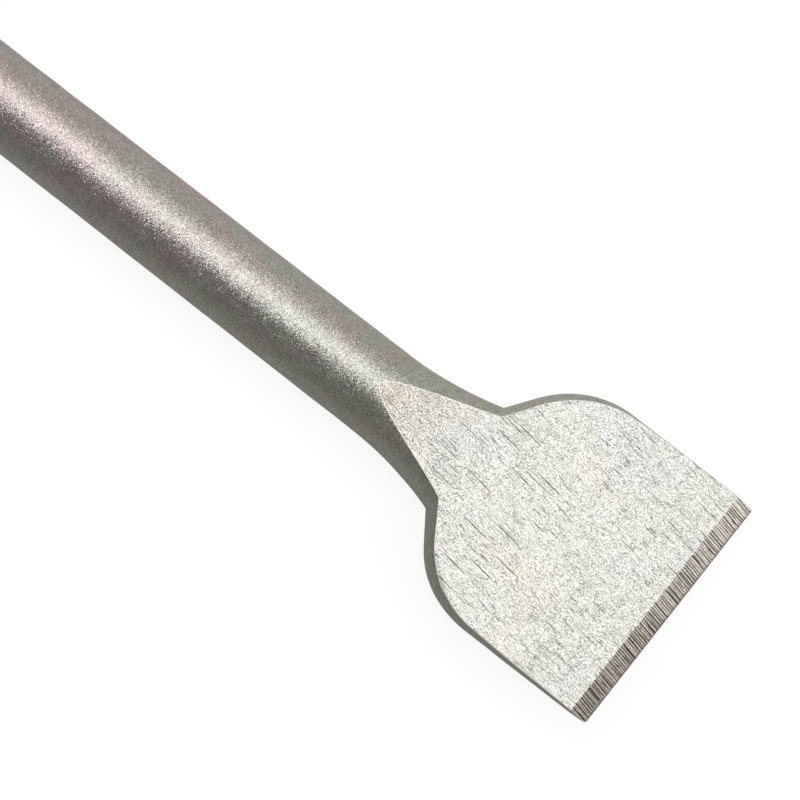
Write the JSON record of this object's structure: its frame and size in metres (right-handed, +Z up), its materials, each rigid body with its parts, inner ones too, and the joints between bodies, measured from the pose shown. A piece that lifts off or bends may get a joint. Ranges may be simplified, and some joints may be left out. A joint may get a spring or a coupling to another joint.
{
  "type": "flat chisel",
  "caption": "Wide flat chisel for a rotary hammer drill: ground spade blade, flared neck, round body and grooved drive shank, forged in one piece.",
  "frame": {"origin": "on the floor plane, below the middle of the chisel's axis", "axes": "+X along the axis towards the cutting edge; +Z up, away from the floor that the chisel lies on; the blade is rolled about X so that its +Y side is the lower one"},
  "size_m": [0.25, 0.04, 0.0139],
  "materials": {
    "tool_steel": "shot-blasted forging with bright ground blade faces and ground edge bevels"
  },
  "bodies": {
    "root": {"flat_chisel": "tool_steel"}
  },
  "joints": []
}
